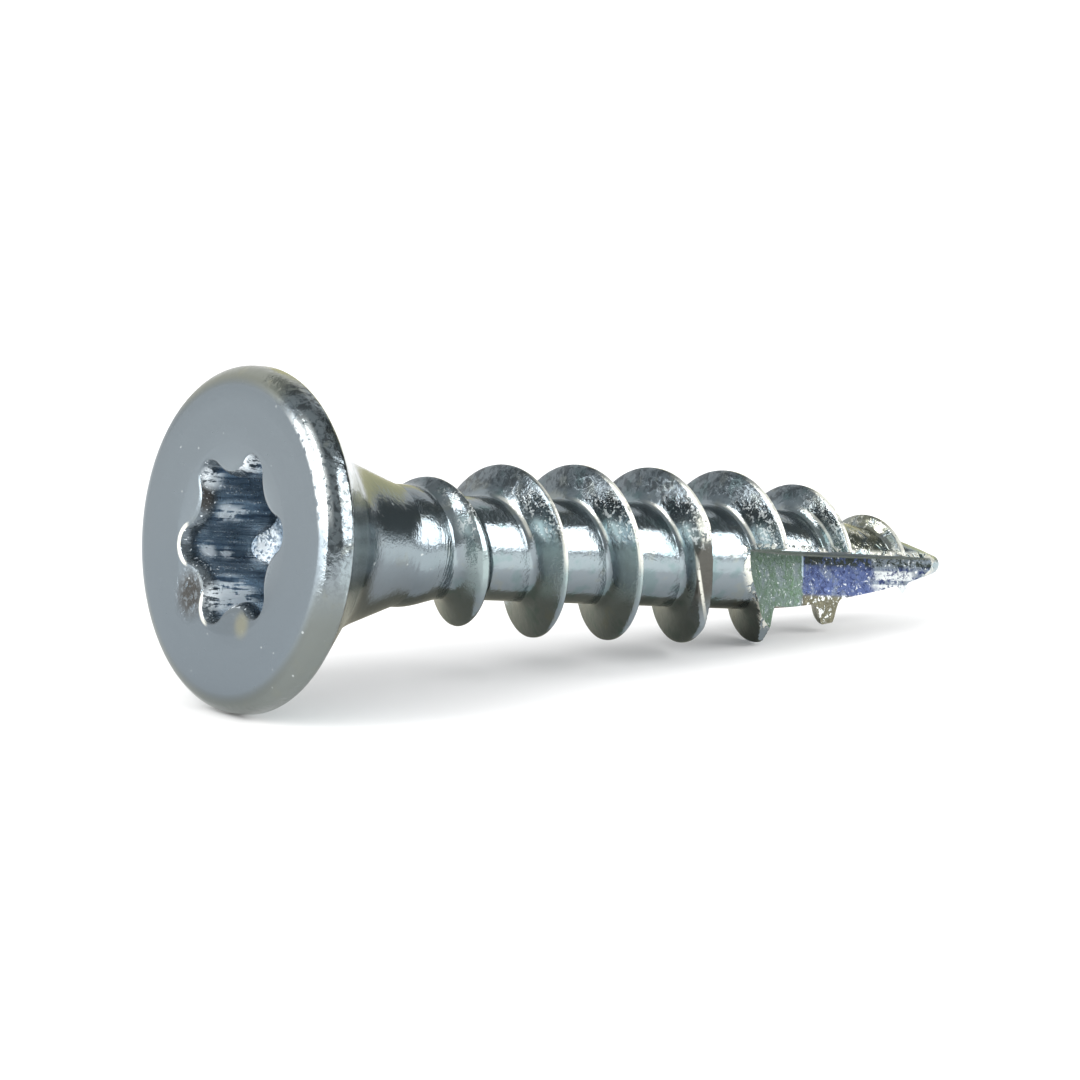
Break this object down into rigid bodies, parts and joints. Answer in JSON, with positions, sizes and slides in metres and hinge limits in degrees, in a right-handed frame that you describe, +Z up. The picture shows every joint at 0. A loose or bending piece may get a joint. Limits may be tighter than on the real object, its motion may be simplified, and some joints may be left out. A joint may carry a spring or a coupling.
{
  "type": "chipboard screw",
  "caption": "Short countersunk chipboard screw with a six-lobe socket, a coarse single-start thread and a cut point, lying on its side.",
  "frame": {"origin": "middle of the underside of the bounding box, on the surface that the screw lies on", "axes": "+X from the head towards the tip, with the screw's axis in the XZ plane and the tip 8.2 degrees below the horizontal, +Z up"},
  "size_m": [0.0204, 0.008, 0.008],
  "materials": {
    "zinc_plated_steel": "bright zinc plating with a clear bluish passivate over hardened carbon steel"
  },
  "bodies": {
    "root": {"chipboard_screw": "zinc_plated_steel"}
  },
  "joints": []
}
